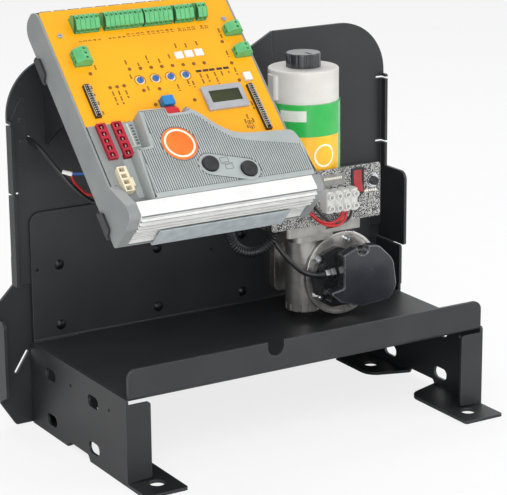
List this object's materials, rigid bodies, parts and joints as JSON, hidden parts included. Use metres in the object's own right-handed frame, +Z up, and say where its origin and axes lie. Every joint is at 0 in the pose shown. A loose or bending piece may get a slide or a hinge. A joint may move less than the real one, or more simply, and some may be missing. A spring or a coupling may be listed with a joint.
{
  "type": "sliding gate motor",
  "caption": "Sliding gate operator on a bent steel stand: battery tray, leaning control unit, upright worm gearmotor with a rear rack pinion, and a small switch panel.",
  "frame": {"origin": "centre of the four anchor holes, on the ground plane under the feet", "axes": "+X to the right seen from the front, -Y towards the front lip, +Z up"},
  "size_m": [0.472, 0.293, 0.4173],
  "materials": {
    "frame_steel": "satin black powder coat",
    "black_bolts": "black",
    "cast_alloy": "sand-cast",
    "machined_alloy": "turned",
    "zinc_screws": "zinc plated",
    "motor_case": "gloss green label on steel",
    "motor_cap": "light grey paint",
    "shaft_steel": "ground",
    "dark_plastic": "matt",
    "bronze": "machined bronze",
    "pinion_steel": "oiled",
    "black_plastic": "matt",
    "lid_plastic": "semi-gloss",
    "speckled_sheet": "speckled enamel",
    "rocker_red": "gloss",
    "clear_nylon": "milky",
    "housing_grey": "fine texture",
    "zinc_sheet": "zinc plated",
    "board_green": "solder mask",
    "face_yellow": "printed",
    "cover_grey": "ribbed",
    "bare_aluminium": "extruded",
    "terminal_green": "moulded",
    "connector_red": "moulded",
    "connector_cream": "moulded nylon",
    "bezel_grey": "satin",
    "display_green": "gloss",
    "key_blue": "gloss",
    "key_white": "gloss",
    "plug_red": "gloss",
    "trimmer_blue": "gloss",
    "button_rubber": "matt",
    "lens_white": "gloss",
    "strip_dark": "moulded",
    "badge_orange": "gloss",
    "cable_black": "satin",
    "conduit_black": "ribbed",
    "wire_red": "gloss"
  },
  "bodies": {
    "frame": {"base_tray": "frame_steel", "left_leg": "frame_steel", "right_leg": "frame_steel", "rear_plate": "frame_steel", "back_plate": "frame_steel", "control_brackets": "frame_steel", "frame_bolts": "black_bolts", "gearbox_housing": "cast_alloy", "gearbox_disc": "machined_alloy", "gearbox_bolts": "zinc_screws", "motor_flange": "cast_alloy", "motor_case": "motor_case", "motor_cap": "motor_cap", "bearings": "shaft_steel", "sensor_base": "black_plastic", "sensor_lid": "lid_plastic", "switch_panel": "speckled_sheet", "switch_bezels": "black_plastic", "choc_block": "clear_nylon", "control_housing": "housing_grey", "control_carrier": "zinc_sheet", "circuit_board": "board_green", "faceplate": "face_yellow", "ribbed_cover": "cover_grey", "heatsink": "bare_aluminium", "heatsink_lip": "zinc_sheet", "terminal_5_pole": "terminal_green", "terminal_8_pole": "terminal_green", "terminal_6_pole": "terminal_green", "terminal_4_pole": "terminal_green", "terminal_2_pole": "terminal_green", "side_terminals": "terminal_green", "power_connectors": "connector_red", "battery_connector": "connector_cream", "display_bezel": "bezel_grey", "display_glass": "display_green", "red_plug": "plug_red", "indicator_lenses": "lens_white", "header_strips": "strip_dark", "badge": "badge_orange", "faceplate_screws": "zinc_screws", "encoder_cable": "cable_black", "conduit": "conduit_black", "leads": "wire_red"},
    "rotor_body": {"rotor": "shaft_steel", "hand_knob": "dark_plastic"},
    "output_body": {"worm_wheel": "bronze", "output_shaft": "shaft_steel", "drive_pinion": "pinion_steel", "pinion_nut": "zinc_screws"},
    "breaker_button_body": {"breaker_button": "black_plastic"},
    "rocker_body": {"rocker": "rocker_red"},
    "open_button_body": {"open_button": "button_rubber"},
    "close_button_body": {"close_button": "button_rubber"},
    "blue_key_body": {"blue_key": "key_blue"},
    "reset_key_body": {"reset_key": "key_white"},
    "trimmer_1_body": {"trimmer_1": "trimmer_blue"},
    "trimmer_2_body": {"trimmer_2": "trimmer_blue"},
    "trimmer_3_body": {"trimmer_3": "trimmer_blue"},
    "trimmer_4_body": {"trimmer_4": "trimmer_blue"}
  },
  "joints": [
    {"name": "motor_spin", "type": "hinge", "parent": "frame", "child": "rotor_body", "pos_m": [0.072, 0.054, 0.25], "axis": [0, 0, 1], "continuous": true},
    {"name": "output_spin", "type": "hinge", "parent": "frame", "child": "output_body", "pos_m": [0.1045, 0.054, 0.1305], "axis": [0, 1, 0], "continuous": true},
    {"name": "open_button_press", "type": "slide", "parent": "frame", "child": "open_button_body", "axis": [0, 0.7071, -0.7071], "range_m": [0, 0.002], "stiffness_N_per_m": 600, "springref_m": -0.0008},
    {"name": "close_button_press", "type": "slide", "parent": "frame", "child": "close_button_body", "axis": [0, 0.7071, -0.7071], "range_m": [0, 0.002], "stiffness_N_per_m": 600, "springref_m": -0.0008},
    {"name": "blue_key_press", "type": "slide", "parent": "frame", "child": "blue_key_body", "axis": [0, 0.7071, -0.7071], "range_m": [0, 0.0015], "stiffness_N_per_m": 600, "springref_m": -0.0008},
    {"name": "reset_key_press", "type": "slide", "parent": "frame", "child": "reset_key_body", "axis": [0, 0.7071, -0.7071], "range_m": [0, 0.0015], "stiffness_N_per_m": 600, "springref_m": -0.0008},
    {"name": "breaker_press", "type": "slide", "parent": "frame", "child": "breaker_button_body", "axis": [0, 1, 0], "range_m": [0, 0.003], "stiffness_N_per_m": 700, "springref_m": -0.001},
    {"name": "rocker_tilt", "type": "hinge", "parent": "frame", "child": "rocker_body", "pos_m": [0.1093, 0.013, 0.2303], "axis": [1, 0, 0], "range_deg": [0, 14]},
    {"name": "trimmer_1_turn", "type": "hinge", "parent": "frame", "child": "trimmer_1_body", "pos_m": [-0.1253, 0.02756, 0.35546], "axis": [0, -0.7071, 0.7071], "range_deg": [-135, 135]},
    {"name": "trimmer_2_turn", "type": "hinge", "parent": "frame", "child": "trimmer_2_body", "pos_m": [-0.109, 0.02756, 0.35546], "axis": [0, -0.7071, 0.7071], "range_deg": [-135, 135]},
    {"name": "trimmer_3_turn", "type": "hinge", "parent": "frame", "child": "trimmer_3_body", "pos_m": [-0.0928, 0.02756, 0.35546], "axis": [0, -0.7071, 0.7071], "range_deg": [-135, 135]},
    {"name": "trimmer_4_turn", "type": "hinge", "parent": "frame", "child": "trimmer_4_body", "pos_m": [-0.0767, 0.02756, 0.35546], "axis": [0, -0.7071, 0.7071], "range_deg": [-135, 135]}
  ],
  "couplings": [
    {"joint": "output_spin", "follows": "motor_spin", "ratio": -0.029412}
  ]
}
